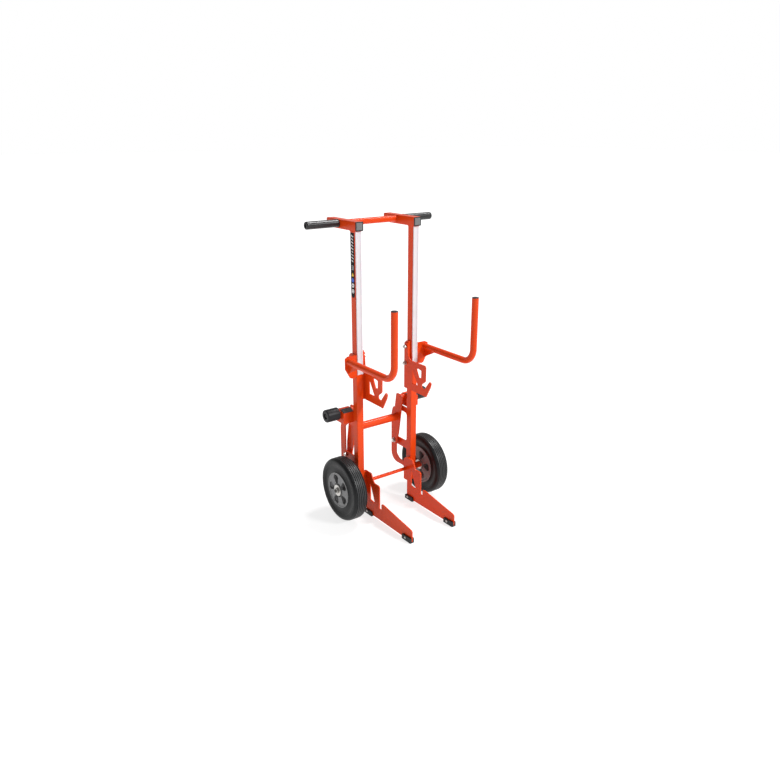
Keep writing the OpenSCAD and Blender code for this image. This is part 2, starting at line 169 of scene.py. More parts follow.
def new_piece(name, bm, material, body, replaced=(), sharp=32):
    bmesh.ops.remove_doubles(bm, verts=bm.verts, dist=0.000002)
    bmesh.ops.recalc_face_normals(bm, faces=bm.faces)
    mesh = bpy.data.meshes.new(name)
    bm.to_mesh(mesh)
    bm.free()
    mesh.polygons.foreach_set("use_smooth", [True] * len(mesh.polygons))
    mesh.set_sharp_from_angle(angle=math.radians(sharp))
    mesh.materials.append(material)
    piece = bpy.data.objects.new(name, mesh)
    bpy.context.scene.collection.objects.link(piece)
    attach(piece, body)
    for node in replaced:
        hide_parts(node)
    return piece


def skin(bm, rings, closed=False, caps=True):
    rows = [[bm.verts.new(p) for p in ring] for ring in rings]
    pairs = list(zip(rows, rows[1:]))
    if closed:
        pairs.append((rows[-1], rows[0]))
    for low, high in pairs:
        count = len(low)
        for i in range(count):
            j = (i + 1) % count
            bm.faces.new((low[i], low[j], high[j], high[i]))
    if caps and not closed:
        bm.faces.new(rows[0][::-1])
        bm.faces.new(rows[-1])


def rounded_square(half, radius, steps=5):
    points = []
    for quarter in range(4):
        middle = math.pi / 2 * quarter + math.pi / 4
        cx = math.copysign(half - radius, math.cos(middle))
        cy = math.copysign(half - radius, math.sin(middle))
        for i in range(steps + 1):
            angle = math.pi / 2 * (quarter + i / steps)
            points.append((cx + radius * math.cos(angle), cy + radius * math.sin(angle)))
    return points


# Each ring: half its width, its corner radius, and how far it stands out of the tube's end
plug_rim = ((17.0, 1.5, -10), (17.0, 1.5, 0.0), (19.4, 3.0, 0.0), (19.5, 3.2, 0.6), (19.5, 3.2, 1.9),
            (19.1, 3.0, 2.6), (18.3, 2.6, 3.0), (16.4, 2.0, 3.0), (15.9, 1.8, 2.6), (15.7, 1.7, 1.8),
            (15.0, 1.5, 1.7))
plug_panel = ((15.2, 1.5, 1.5), (15.2, 1.5, 2.1), (14.7, 1.3, 2.4), (9.0, 1.0, 2.5))

for side, word in sides:
    tube_low, tube_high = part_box("top_tube_" + word)
    tube_x = (tube_low.x + tube_high.x) / 2
    tube_z = (tube_low.z + tube_high.z) / 2
    for end_y, outward, end in ((tube_low.y, -1, "front"), (tube_high.y, 1, "rear")):
        for part, stations, plastic in (("plug_", plug_rim, cap_plastic),
                                        ("plug_panel_", plug_panel, cap_panel_painted_reflection)):
            plug = bmesh.new()
            skin(plug, [[(tube_x + u * mm, end_y + outward * depth * mm, tube_z + v * mm)
                         for u, v in rounded_square(half, radius)] for half, radius, depth in stations])
            new_piece("top_tube_" + part + end + "_" + word, plug, plastic, "frame",
                      ["tube_end_caps"])


# ---------- Handlebar and grips ----------
# A straight 28 mm steel tube right through both top tubes, welded there and powder coated with the frame.
# A soft sleeve grip is pushed on each end, with a flange against the frame and a vent hole in its end.

finish_cad("handlebar_tube", powder_coat, 0.5 * mm)

# Soft PVC, dip moulded: nearly black, semi-gloss, with a slow waviness of about 8 mm and dull smears.
grip_rubber, tree, place = new_material("dipped_soft_pvc_black")
wave = noise(tree, place, 120.0, 2.0)
smear = noise(tree, place, 35.0, 4.0, distortion=1.0)
shade = ramp(tree, smear, "#141415", "#222224")
gloss = spread(tree, smear, 0.3, 0.34)
ripple = bump(tree, wave, 0.12, 0.0001)
surface(tree, {"Base Color": shade, "Roughness": gloss, "Normal": ripple},
        {"IOR": 1.5, "Specular IOR Level": 0.45})


def turned(bm, profile, axis_y, axis_z, steps=96, side=1, closed=False):
    rings = []
    for x, radius in profile:
        rings.append([(side * x * mm, axis_y + radius * mm * math.cos(tau * i / steps),
                       axis_z + radius * mm * math.sin(tau * i / steps)) for i in range(steps)])
    skin(bm, rings, closed=closed, caps=not closed)


# Distance from the middle of the lift and radius: flange, sleeve, rounded end, vent hole, and its floor
grip_profile = ((176.5, 14.1), (176.5, 17.2), (177.0, 17.8), (178.0, 18.0), (179.6, 18.0), (180.6, 17.7),
                (181.4, 17.1), (183.0, 17.0), (187.0, 16.9), (326.0, 16.9), (328.0, 17.0), (331.5, 16.9),
                (334.2, 16.4), (336.2, 15.2), (337.2, 13.4), (337.5, 11.6), (337.3, 10.0), (336.4, 9.1),
                (335.0, 8.9), (332.2, 8.9), (332.2, 14.1))
inner_end = ((330.0, 13.8), (332.4, 13.8), (332.6, 8.0), (332.4, 4.0))

for side, word in sides:
    low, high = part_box("grip_" + word)
    grip_y = (low.y + high.y) / 2
    grip_z = (low.z + high.z) / 2
    sleeve = bmesh.new()
    turned(sleeve, grip_profile, grip_y, grip_z, steps=80, side=side, closed=True)
    new_piece("grip_sleeve_" + word, sleeve, grip_rubber, "frame", ["grip_" + word])
    # The end of the tube seen down the vent hole
    plug = bmesh.new()
    turned(plug, inner_end, grip_y, grip_z, steps=48, side=side)
    new_piece("grip_inner_end_" + word, plug, cap_plastic, "frame", ["grip_" + word])


# ---------- Glide strips and label ----------
# White low-friction strips, extruded with a shallow channel down the middle, fixed on the front of each
# post so that a board slides. A thin plate with plain coloured shapes sits on the side of one post.

# UHMW polyethylene, extruded: milky white, waxy, with faint draw lines along its length.
strip_plastic, tree, place = new_material("extruded_polyethylene_white")
along = add(tree, "ShaderNodeMapping", {"Vector": place}, {"Scale": (900.0, 900.0, 6.0)})
draw = noise(tree, along.outputs["Vector"], 1.0, 2.0)
milk = noise(tree, place, 14.0, 3.0)
shade = ramp(tree, milk, "#D3CCD0", "#DDD6DA")
lines = bump(tree, draw, 0.25, 0.0001)
surface(tree, {"Base Color": shade, "Normal": lines},
        {"Roughness": 0.42, "IOR": 1.54, "Subsurface Weight": 0.08, "Subsurface Scale": 0.002})

for side, word in sides:
    low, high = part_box("glide_strip_" + word)
    middle = (low.x + high.x) / 2
    half = (high.x - low.x) / 2 / mm
    section = [(-half, 0.0), (-half, 4.0), (-half + 0.3, 4.7), (-half + 1.0, 5.0), (-9.6, 5.0), (-8.9, 4.7),
               (-8.2, 3.6), (-7.4, 3.4), (7.4, 3.4), (8.2, 3.6), (8.9, 4.7), (9.6, 5.0), (half - 1.0, 5.0),
               (half - 0.3, 4.7), (half, 4.0), (half, 0.0)]
    strip = bmesh.new()
    stations = ((low.z, 0.86), (low.z + 0.7 * mm, 1.0), (high.z - 0.7 * mm, 1.0), (high.z, 0.86))
    skin(strip, [[(middle + u * mm, high.y - v * mm * k, z) for u, v in section] for z, k in stations])
    new_piece("glide_channel_" + word, strip, strip_plastic, "frame",
              ["glide_strip_" + word], sharp=25)

# Printed polyester film on a thin backing: black, smooth and glossy, with a very slight pebble.
label_black, tree, place = new_material("printed_film_black")
pebble = noise(tree, place, 300.0, 2.0)
shade = ramp(tree, pebble, "#060607", "#0D0D0F")
dimple = bump(tree, pebble, 0.15, 0.0001)
surface(tree, {"Base Color": shade, "Normal": dimple},
        {"Roughness": 0.36, "IOR": 1.55, "Specular IOR Level": 0.07})


def printed_ink(name, dark, light):
    # Screen-printed ink on the film: flat, slightly uneven in density, satin.
    material, ink, spot = new_material(name)
    density = noise(ink, spot, 220.0, 3.0)
    colour = ramp(ink, density, dark, light)
    surface(ink, {"Base Color": colour},
            {"Roughness": 0.4, "IOR": 1.5, "Specular IOR Level": 0.35})
    return material


ink_white = printed_ink("screen_ink_white", "#F0EEF0", "#F7F5F6")
ink_grey = printed_ink("screen_ink_grey", "#A3A2A5", "#B0AFB2")
ink_yellow = printed_ink("screen_ink_yellow", "#F2C21A", "#F7CC2A")
ink_blue = printed_ink("screen_ink_blue", "#2A5AD0", "#3A6AE0")

label_low, label_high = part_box("label_plate")
label_y = (label_low.y + label_high.y) / 2
label_half = (label_high.y - label_low.y) / 2 / mm
label_height = (label_high.z - label_low.z) / mm
plate_outline = [(-label_half, label_height - 2), (-label_half + 2, label_height),
                 (label_half - 2, label_height), (label_half, label_height - 2)]
for i in range(13):
    turn = math.pi * i / 12
    plate_outline.append((label_half * math.cos(turn), label_half * (1 - math.sin(turn))))
film_plate = bmesh.new()
skin(film_plate, [[(label_high.x - t * mm, label_y + u * k * mm, label_low.z + v * mm)
                   for u, v in plate_outline] for t, k in ((0.0, 1.0), (0.5, 1.0), (0.65, 0.985))])
new_piece("label_film_plate", film_plate, label_black, "frame", ["label_plate"])


film_face = 0.64
ink_thickness = 0.06


def label_mark(name, outline, ink, layer=0):
    mark = bmesh.new()
    face = label_high.x - (film_face + layer * ink_thickness) * mm
    skin(mark, [[(face - t * mm, label_y + u * mm, label_low.z + v * mm) for u, v in outline]
                for t in (0.0, ink_thickness)])
    new_piece(name, mark, ink, "frame", ["label_plate"])


def disc(u, v, radius, steps=32):
    return [(u + radius * math.cos(tau * i / steps), v + radius * math.sin(tau * i / steps))
            for i in range(steps)]


stripe_pitch = 13.2
bar_pitch = 5.2
for i, reach in enumerate((8.5, 6.0, 9.0, 7.5, 8.8, 5.5, 8.2, 9.0, 6.8)):
    top = label_height - 12 - i * stripe_pitch
    slanted = [(-reach, top - 4), (-reach + 2.2, top - 7.5), (reach, top - 1), (reach - 2.2, top + 2.5)]
    label_mark("label_stripe_%d" % (i + 1), slanted, ink_white)
for i, reach in enumerate((8.5, 6.5, 4.5, 7.5)):
    top = 140 - i * bar_pitch
    flat_bar = [(-8.5, top), (-8.5, top - bar_pitch / 2), (reach, top - bar_pitch / 2), (reach, top)]
    label_mark("label_bar_%d" % (i + 1), flat_bar, ink_grey)
label_mark("label_triangle", [(-9.0, 94), (9.0, 94), (0.0, 110)], ink_yellow)
label_mark("label_disc_blue", disc(0, 77, 9.2), ink_blue)
label_mark("label_disc_middle", disc(0, 54, 9.2), ink_white)
label_mark("label_disc_middle_dot", disc(0, 54, 4.2), label_black, 1)
label_mark("label_disc_lower", disc(0, 29, 9.6), ink_white)
label_mark("label_disc_lower_ring", disc(0, 29, 6.6), label_black, 1)
label_mark("label_disc_lower_dot", disc(0, 29, 5.0), ink_white, 2)


# ---------- Forks, hooks and rear brackets ----------
# Plates cut from 5 and 6 mm sheet with packers between them and the posts, their edges lightly rounded
# by blasting before the powder coat, which builds up a bright line on each edge.

for node in ("fork_plate_left", "fork_plate_right", "fork_spacers", "hook_plate_left", "hook_plate_right",
             "hook_spacer_left", "hook_spacer_right", "rear_bracket_left", "rear_bracket_right",
             "arm_bracket_left", "arm_bracket_right", "arm_gussets"):
    finish_cad(node, powder_coat, 0.6 * mm)


# ---------- Pads ----------
# Rubber shoes that clasp the lower edge of each fork and stand on the floor, each with one bolt through.

# Moulded nitrile rubber: matt black with a dusting of talc and a fine pebble of about 1 mm.
pad_rubber, tree, place = new_material("moulded_nitrile_rubber")
pebble = noise(tree, place, 900.0, 3.0)
talc = noise(tree, place, 70.0, 5.0, roughness=0.65)
shade = ramp(tree, talc, "#1D1D1F", "#2B2B2D", 0.35, 0.75)
dimple = bump(tree, pebble, 0.4, 0.0001)
surface(tree, {"Base Color": shade, "Normal": dimple},
        {"Roughness": 0.55, "IOR": 1.52, "Specular IOR Level": 0.3})

for node in ("pad_front_left", "pad_front_right", "pad_rear_left", "pad_rear_right"):
    finish_cad(node, pad_rubber, 1.2 * mm)

# Zinc plate over turned and rolled steel: bright, cool, with fine turning lines and a faint cloudy bloom.
zinc, tree, place = new_material("bright_zinc_plate")
bloom = noise(tree, place, 130.0, 4.0)
shade = ramp(tree, bloom, "#B4B2AE", "#D6D4D0")
gloss = spread(tree, bloom, 0.24, 0.38)
turning = noise(tree, place, 1500.0, 1.0)
marks = bump(tree, turning, 0.2, 0.00003)
surface(tree, {"Base Color": shade, "Roughness": gloss, "Normal": marks},
        {"Metallic": 1.0})


def hexagon(bm, start, end, across, axis_y, axis_z, bore, side=1, chamfer=0.94):
    steps = 48
    columns = []
    flat = across / 2
    for i in range(steps):
        angle = tau * i / steps
        off = (angle + math.pi / 6) % (math.pi / 3) - math.pi / 6
        reach = flat / math.cos(off)
        drop = (reach - flat * chamfer) * 0.5
        columns.append((angle, reach, drop))
    rings = []
    for kind in range(6):
        ring = []
        for angle, reach, drop in columns:
            x, radius = ((start, bore), (start, flat * chamfer), (start + drop, reach),
                         (end - drop, reach), (end, flat * chamfer), (end, bore))[kind]
            ring.append((side * x * mm, axis_y + radius * mm * math.sin(angle),
                         axis_z + radius * mm * math.cos(angle)))
        rings.append(ring)
    skin(bm, rings, closed=True)


def thread(start, end, radius, pitch=1.25, depth=0.45):
    points = []
    turns = int(abs(end - start) / pitch)
    step = pitch if end > start else -pitch
    for i in range(turns):
        points += [(start + step * i, radius - depth), (start + step * (i + 0.5), radius)]
    return points


pad_bolt_y = {"front": -334 * mm, "rear": -31 * mm}
pad_bolt_z = 15.5 * mm
for side, word in sides:
    for pad, bolt_y in pad_bolt_y.items():
        low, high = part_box("pad_" + pad + "_" + word)
        inner = min(abs(low.x), abs(high.x)) / mm
        outer = max(abs(low.x), abs(high.x)) / mm
        shank = [(inner - 5.0, 2.4)] + thread(inner - 4.6, inner - 1.0, 3.0, 1.0) + [(outer, 2.9)]
        head = ((outer, 5.6), (outer + 0.8, 5.6), (outer + 1.0, 5.0), (outer + 2.0, 4.9),
                (outer + 3.1, 3.9), (outer + 3.8, 2.0), (outer + 3.9, 0.6))
        washer = ((inner - 0.9, 3.0), (inner - 0.9, 5.7), (inner, 5.7), (inner, 3.0))
        bolt = bmesh.new()
        turned(bolt, shank, bolt_y, pad_bolt_z, steps=32, side=side)
        turned(bolt, head, bolt_y, pad_bolt_z, steps=40, side=side)
        hexagon(bolt, inner - 4.0, inner, 10, bolt_y, pad_bolt_z, 2.8, side=side)
        turned(bolt, washer, bolt_y, pad_bolt_z, steps=40, side=side, closed=True)
        new_piece("pad_bolt_" + pad + "_" + word, bolt, zinc, "frame", ["pad_bolts"])


# ---------- J arms ----------
# 30 mm steel tubes bent up at the front, welded to a folded bracket on each post with a web beneath,
# with a plastic plug in each tip.

for node in ("arm_left", "arm_right"):
    finish_cad(node, powder_coat, 0.5 * mm)


def turned_up(bm, profile, axis_x, axis_y, base_z, steps=64):
    skin(bm, [[(axis_x + radius * mm * math.cos(tau * i / steps),
                axis_y + radius * mm * math.sin(tau * i / steps), base_z + z * mm)
               for i in range(steps)] for z, radius in profile])


arm_radius = 15 * mm
tip_plug = ((-12, 12.6), (0, 12.8), (0, 14.7), (0.5, 15.0), (1.4, 15.0), (2.2, 14.3), (2.8, 12.6),
            (3.0, 10.0), (3.0, 2.0))
for side, word in sides:
    low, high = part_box("arm_" + word)
    plug = bmesh.new()
    turned_up(plug, tip_plug, (low.x + high.x) / 2, low.y + arm_radius, high.z)
    new_piece("arm_tip_plug_" + word, plug, cap_plastic, "frame", ["arm_caps"])


# ---------- Clamp bolts ----------
# Two zinc-plated bolts a side, through the arm bracket, post, packer and hook plate, with a washer and
# a nut inside and a short length of thread standing out.

clamp_y = 6 * mm
clamp_levels = (("lower", 709.5 * mm), ("upper", 790 * mm))
head_seat = 178.0
for side, word in sides:
    hook_low, hook_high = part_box("hook_plate_" + word)
    inner = min(abs(hook_low.x), abs(hook_high.x)) / mm
    shank = [(inner - 16.0, 3.9)] + thread(inner - 15.4, inner - 2.0, 5.0, 1.5) + [(head_seat, 4.95)]
    washer = ((inner - 2.0, 5.2), (inner - 2.0, 9.7), (inner - 1.7, 10.0), (inner - 0.3, 10.0),
              (inner, 9.7), (inner, 5.2))
    for level, bolt_z in clamp_levels:
        bolt = bmesh.new()
        turned(bolt, shank, clamp_y, bolt_z, steps=40, side=side)
        turned(bolt, washer, clamp_y, bolt_z, steps=56, side=side, closed=True)
        hexagon(bolt, inner - 10.5, inner - 2.0, 16, clamp_y, bolt_z, 4.6, side=side)
        hexagon(bolt, head_seat, head_seat + 6.5, 16, clamp_y, bolt_z, 1.0, side=side)
        new_piece("clamp_bolt_" + level + "_" + word, bolt, zinc, "frame", ["clamp_bolts"])


# ---------- Pivot bolts ----------
# The prop frame hangs on one bolt a side: a nut and a washer inside the lever, a spacer between lever
# and bracket, and a nut outside with the thread's end.

prop_swing = next(joint for joint in frame["joints"] if joint["name"] == "prop_swing")
pivot = Vector(prop_swing["pos_m"])
lever_inside = 132.5
bracket_outside = 156.0
pivot_shank = [(130.5, 5.2), (131.0, 5.95), (156.5, 5.95)] + thread(156.5, 167.6, 6.0, 1.5) + [(168.0, 4.6)]
pivot_washer = ((130.5, 6.0), (130.5, 11.7), (130.8, 12.0), (132.2, 12.0), (lever_inside, 11.7),
                (lever_inside, 6.0))
pivot_spacer = ((139.5, 6.0), (139.5, 10.6), (139.9, 11.0), (149.6, 11.0), (150.0, 10.6), (150.0, 6.0))
for side, word in sides:
    bolt = bmesh.new()
    turned(bolt, pivot_shank, pivot.y, pivot.z, steps=48, side=side)
    turned(bolt, pivot_washer, pivot.y, pivot.z, steps=56, side=side, closed=True)
    turned(bolt, pivot_spacer, pivot.y, pivot.z, steps=56, side=side, closed=True)
    hexagon(bolt, 122.5, 130.5, 17, pivot.y, pivot.z, 1.0, side=side)
    hexagon(bolt, bracket_outside, bracket_outside + 10, 17, pivot.y, pivot.z, 5.6, side=side)
    new_piece("pivot_bolt_" + word, bolt, zinc, "frame", ["pivot_bolts"])


# ---------- Axle ----------
# One steel bar through both forks, both posts and both hubs, with welded distance tubes between post
# and hub, then a washer on each side of the hub and a large nut on the end.

for node in ("axle", "axle_bosses"):
    finish_cad(node, powder_coat, 0.5 * mm)

# Black oxide over rolled thread: dark, oily, still metallic on the crests.
black_oxide, tree, place = new_material("black_oxide_steel")
oil = noise(tree, place, 300.0, 3.0)
shade = ramp(tree, oil, "#2E2C2A", "#4A4845")
marks = bump(tree, oil, 0.2, 0.00005)
surface(tree, {"Base Color": shade, "Normal": marks},
        {"Metallic": 1.0, "Roughness": 0.42})

axle_low, axle_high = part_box("axle")
axle_y = (axle_low.y + axle_high.y) / 2
axle_z = (axle_low.z + axle_high.z) / 2
axle_end = axle_high.x / mm
nut_seat = 281.0
washer_sizes = ((205.0, 207.6, 25.0), (277.5, nut_seat, 27.5))
stub_profile = [(nut_seat, 8.3)] + thread(nut_seat + 0.4, axle_end - 1.0, 9.1, 1.5) + \
    [(axle_end, 8.6), (axle_end + 0.3, 8.2)]
for side, word in sides:
    washers = bmesh.new()
    for start, end, radius in washer_sizes:
        turned(washers, [(start, 8.6), (start, radius - 0.5), (start + 0.5, radius), (end - 0.5, radius),
                         (end, radius - 0.5), (end, 8.6)], axle_y, axle_z, steps=80, side=side, closed=True)
    new_piece("hub_washers_" + word, washers, zinc, "frame", ["axle_nuts"])
    nut = bmesh.new()
    hexagon(nut, nut_seat, nut_seat + 8.5, 24, axle_y, axle_z, 8.2, side=side)
    new_piece("axle_nut_" + word, nut, zinc, "frame", ["axle_nuts"])
    stub = bmesh.new()
    turned(stub, stub_profile, axle_y, axle_z, steps=56, side=side)
    new_piece("axle_thread_" + word, stub, black_oxide, "frame", ["axle_nuts"])


# ---------- Wheels ----------
# 12 inch wheels: a grey moulded rim with five pockets in each face, a steel bush in the hub, and a
# heavy ribbed tyre with a rounded tread and dished sidewalls.

# Moulded styrene-butadiene rubber: charcoal, with slow grey bloom and a silky sidewall; the crests of
# the tread's ribs are painted paler, partly scuffing and partly a painted highlight; the grooves between
# them stay black.
tyre_rubber, tree, place = new_material("moulded_tyre_rubber")
pebble = noise(tree, place, 800.0, 3.0)
bloom = noise(tree, place, 26.0, 5.0, roughness=0.6)
shade = ramp(tree, bloom, "#111213", "#1D1E20", 0.35, 0.7)
# Painted highlight: by its distance from the axle, the outer face of each rib is mixed towards a paler grey.
offset = add(tree, "ShaderNodeVectorMath", {0: place}, {1: (0.0, axle_y, axle_z)}, operation="SUBTRACT")
flat = add(tree, "ShaderNodeVectorMath", {0: offset.outputs["Vector"]}, {1: (0.0, 1.0, 1.0)},
           operation="MULTIPLY")
radius = add(tree, "ShaderNodeVectorMath", {0: flat.outputs["Vector"]}, operation="LENGTH")
crest_highlight_mask = add(tree, "ShaderNodeMapRange", {"Value": radius.outputs["Value"]},
            {"From Min": 0.1492, "From Max": 0.1508, "To Min": 0.0, "To Max": 1.0})
crest_scuff_and_highlight = add(tree, "ShaderNodeMix", {0: crest_highlight_mask.outputs["Result"], 6: shade},
            {7: linear("#333435")}, data_type="RGBA")
gloss = spread(tree, bloom, 0.34, 0.46)
dimple = bump(tree, pebble, 0.3, 0.0001)
surface(tree, {"Base Color": crest_scuff_and_highlight.outputs[2], "Roughness": gloss, "Normal": dimple},
        {"IOR": 1.52, "Specular IOR Level": 0.21})

# Polypropylene rim, moulded in grey: satin, with faint flow marks that run out from the hub.
rim_plastic, tree, place = new_material("moulded_polypropylene_grey")
flow = noise(tree, place, 40.0, 4.0, distortion=1.2)
spark = noise(tree, place, 1100.0, 2.0)
shade = ramp(tree, flow, "#757576", "#828283", 0.3, 0.75)
grain = bump(tree, spark, 0.3, 0.00006)
surface(tree, {"Base Color": shade, "Normal": grain},
        {"Roughness": 0.4, "IOR": 1.49, "Specular IOR Level": 0.4})

tyre_middle = 241.0
tyre_radius = 151.5
crown_flat = 18.0
rib_pitch = 9.5
groove_half = 1.1
groove_lip = 0.4


def crown(x):
    return tyre_radius - 4.5 * (max(0.0, abs(x) - crown_flat) / 13) ** 2


tread = []
for groove in [rib_pitch * (i - 2.5) for i in range(6)]:
    outermost = abs(groove) > 2 * rib_pitch
    floor_radius = crown(groove) - (2.4 if outermost else 3.0)
    tread += [(groove - 1.9, crown(groove - 1.9)), (groove - 1.35, crown(groove) - groove_lip),
              (groove - groove_half, floor_radius), (groove + groove_half, floor_radius),
              (groove + 1.35, crown(groove) - groove_lip), (groove + 1.9, crown(groove + 1.9))]
    if groove < 2 * rib_pitch:
        tread.append((groove + rib_pitch / 2, crown(groove + rib_pitch / 2)))
shoulder = [(28.0, crown(28.0)), (31.0, 147.0), (32.6, 145.3), (33.9, 143.2), (35.0, 140.8), (35.7, 137.4),
            (36.0, 134.0), (35.8, 131.2), (35.5, 129.8), (34.6, 129.3), (34.4, 128.6), (34.9, 128.0),
            (34.6, 126.2), (34.0, 123.8), (33.1, 120.6), (32.6, 119.6), (31.9, 119.0), (31.4, 117.0),
            (30.5, 113.0), (29.7, 110.0), (29.5, 108.0)]
outer_bead = [(29.6, 104.0), (29.9, 100.0), (30.6, 96.5), (31.2, 93.0), (31.7, 91.0), (32.0, 90.0),
              (33.0, 85.2), (31.0, 85.0)]
inner_bead = [(-29.5, 104.0), (-30.2, 100.0), (-31.3, 97.0), (-31.6, 95.8), (-31.8, 94.2), (-30.0, 94.0),
              (-28.2, 93.8), (-28.0, 85.2)]
inner_shoulder = [(-x, r) for x, r in reversed(shoulder)]
tyre_section = inner_bead[::-1] + inner_shoulder + tread + shoulder + outer_bead
tyre_profile = [(tyre_middle + x, r) for x, r in tyre_section]
for side, word in sides:
    tyre = bmesh.new()
    turned(tyre, tyre_profile, axle_y, axle_z, steps=160, side=side, closed=True)
    new_piece("ribbed_tyre_" + word, tyre, tyre_rubber, "wheel_" + word, ["tyre_" + word],
              sharp=28)
    finish_cad("rim_" + word, rim_plastic, 0.7 * mm)

# Sintered steel bush: plain grey metal, dull, with a slight porosity of about 0.5 mm.
bush_steel, tree, place = new_material("sintered_steel")
pores = add(tree, "ShaderNodeTexVoronoi", {"Vector": place}, {"Scale": 1800.0})
shade = ramp(tree, pores.outputs["Distance"], "#6E6C69", "#8F8D8A")
pits = bump(tree, pores.outputs["Distance"], 0.3, 0.00005)
surface(tree, {"Base Color": shade, "Normal": pits},
        {"Metallic": 1.0, "Roughness": 0.5})
for word in ("left", "right"):
    finish_cad("hub_bush_" + word, bush_steel, 0.4 * mm)


# ---------- Prop frame ----------
# Two flat levers tied by a cross tube swing back on the pivot bolts. A stub shaft on each lever carries
# a foot block with a ribbed tread, a collar and a rubber roller.

for node in ("prop_lever_left", "prop_lever_right", "prop_cross_tube", "prop_shaft_left", "prop_shaft_right",
             "shaft_collars", "step_block_left", "step_block_right"):
    finish_cad(node, powder_coat, 0.6 * mm)

# Extruded EPDM matting: dark grey, dull, worn a little paler on its ribs.
tread_rubber, tree, place = new_material("extruded_epdm_grey")
wear = noise(tree, place, 240.0, 5.0)
shade = ramp(tree, wear, "#3B393B", "#555355")
dimple = bump(tree, wear, 0.4, 0.0002)
surface(tree, {"Base Color": shade, "Normal": dimple},
        {"Roughness": 0.6, "IOR": 1.52, "Specular IOR Level": 0.3})

# The matting's section up the foot block's slope: eight flat ribs with shallow grooves between them
slope_start = Vector((0, 29, 524))
slope_end = Vector((0, 58, 534))
mat_ribs = 8
mat_ends = (162.0, 216.0)
section = [(30.2, 520.3), (29.0, 523.0)]
for i in range(mat_ribs):
    for part, drop in ((0.06, 1.3), (0.2, 0.0), (0.66, 0.0), (0.8, 1.3)):
        spot = slope_start.lerp(slope_end, (i + part) / mat_ribs)
        section.append((spot.y + 0.32 * drop, spot.z - 0.95 * drop))
section += [(58.2, 532.6), (58.8, 530.3)]
for side, word in sides:
    mat = bmesh.new()
    skin(mat, [[(side * x * mm, y * mm, z * mm) for y, z in section] for x in mat_ends])
    new_piece("step_matting_" + word, mat, tread_rubber, "prop_frame", ["step_treads"],
              sharp=25)

# Cast polyurethane roller: black, semi-matt, with turning lines round it about 1.5 mm apart.
roller_rubber, tree, place = new_material("cast_polyurethane_black")
across = add(tree, "ShaderNodeMapping", {"Vector": place}, {"Scale": (650.0, 20.0, 20.0)})
lathe = noise(tree, across.outputs["Vector"], 1.0, 2.0)
dust = noise(tree, place, 60.0, 5.0)
shade = ramp(tree, dust, "#19191B", "#28282B")
lines = bump(tree, lathe, 0.3, 0.0001)
surface(tree, {"Base Color": shade, "Normal": lines},
        {"Roughness": 0.42, "IOR": 1.5, "Specular IOR Level": 0.2})

roller_profile = ((224.0, 10.06), (224.0, 26.6), (224.4, 28.2), (225.3, 29.3), (226.6, 29.9), (228.2, 30.0),
                  (285.2, 30.0), (287.2, 29.6), (288.7, 28.6), (289.6, 27.2), (290.0, 25.6), (290.0, 14.4),
                  (289.6, 13.4), (288.8, 13.0), (279.5, 13.0), (279.5, 10.06))
retainer_washer = ((280.0, 3.0), (280.0, 11.2), (280.3, 11.5), (281.7, 11.5), (282.0, 11.2), (282.0, 3.0))
for side, word in sides:
    low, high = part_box("roller_" + word)
    roller_y = (low.y + high.y) / 2
    roller_z = (low.z + high.z) / 2
    sleeve = bmesh.new()
    turned(sleeve, roller_profile, roller_y, roller_z, steps=96, side=side, closed=True)
    new_piece("roller_sleeve_" + word, sleeve, roller_rubber, "roller_" + word,
              ["roller_" + word])
    bolt = bmesh.new()
    turned(bolt, retainer_washer, roller_y, roller_z, steps=48, side=side, closed=True)
    hexagon(bolt, 282.0, 287.0, 13, roller_y, roller_z, 0.8, side=side)
    new_piece("roller_bolt_" + word, bolt, black_oxide, "prop_frame", ["roller_retainers"])


# ---------- Welds ----------
# MIG beads where tube meets plate, with their ripples left on, under the same powder coat.

def bead(bm, path, radius, closed):
    count = len(path)
    rings = []
    walked = 0.0
    for i, point in enumerate(path):
        before = path[i - 1] if closed or i > 0 else point
        after = path[(i + 1) % count] if closed or i < count - 1 else point
        along = (after - before).normalized()
        across = along.cross(Vector((0.577, 0.577, 0.577)))
        across.normalize()
        up = along.cross(across)
        walked += (point - before).length
        swell = radius * (1 + 0.12 * math.sin(tau * walked / (3.2 * mm)))
        if not closed and i in (0, count - 1):
            swell *= 0.5
        rings.append([point + swell * (across * math.cos(tau * k / 8) + up * math.sin(tau * k / 8))
                      for k in range(8)])
    skin(bm, rings, closed=closed)


def ring_path(centre, radius, axis, steps):
    points = []
    for i in range(steps):
        a = radius * math.cos(tau * i / steps)
        b = radius * math.sin(tau * i / steps)
        points.append(centre + Vector({"x": (0, a, b), "y": (a, 0, b), "z": (a, b, 0)}[axis]))
    return points


def line_path(start, end, step=0.8 * mm):
    count = max(2, int((end - start).length / step))
    return [start.lerp(end, i / count) for i in range(count + 1)]


def straight_bead(bm, start, end, radius):
    bead(bm, line_path(Vector(start), Vector(end)), radius, False)


def round_bead(bm, x, y, z, ring_radius, axis, steps, radius):
    bead(bm, ring_path(Vector((x, y, z)), ring_radius, axis, steps), radius, True)


